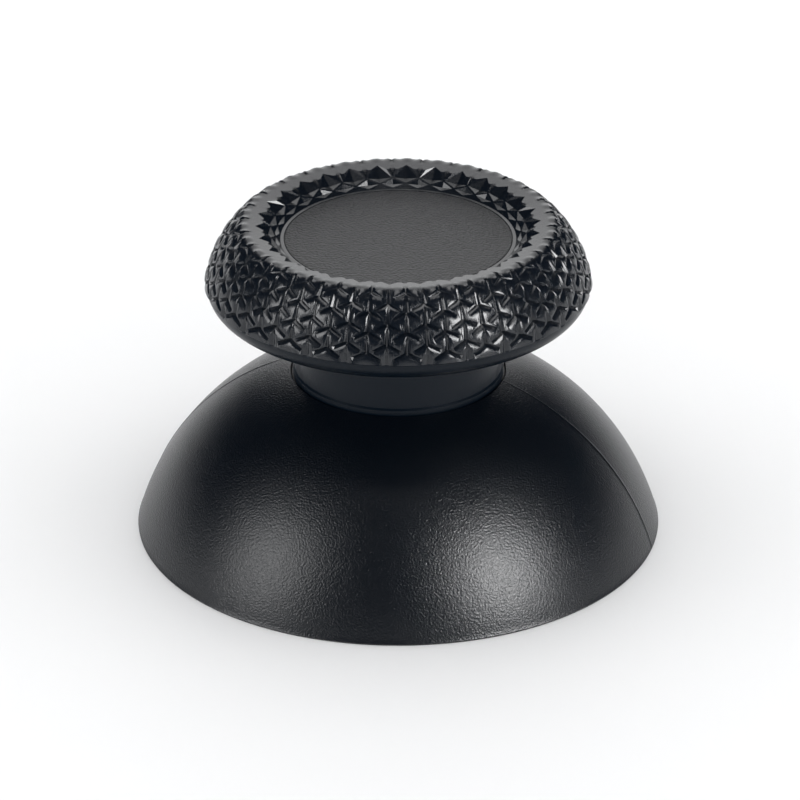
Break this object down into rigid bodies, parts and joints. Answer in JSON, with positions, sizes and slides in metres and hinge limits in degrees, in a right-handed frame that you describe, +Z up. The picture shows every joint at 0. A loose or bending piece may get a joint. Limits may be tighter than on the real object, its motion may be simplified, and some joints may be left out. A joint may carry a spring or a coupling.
{
  "type": "thumbstick cap",
  "caption": "Domed thumbstick cap: hollow hard skirt with a lever socket inside, and a soft dished disc on a short neck, with a knurled gripping ring.",
  "frame": {"origin": "centre of the dome's rim, on the plane that the rim stands on", "axes": "+Z up the stem, from the rim to the dished top; X and Y lie in the rim's plane, and the lever socket's two flats face along Y"},
  "size_m": [0.025, 0.025, 0.0155],
  "materials": {
    "hard_plastic": "satin black with a fine moulded grain",
    "soft_grip": "dark grey matte"
  },
  "bodies": {
    "root": {"dome_stem": "hard_plastic", "grip_cap": "soft_grip"}
  },
  "joints": []
}
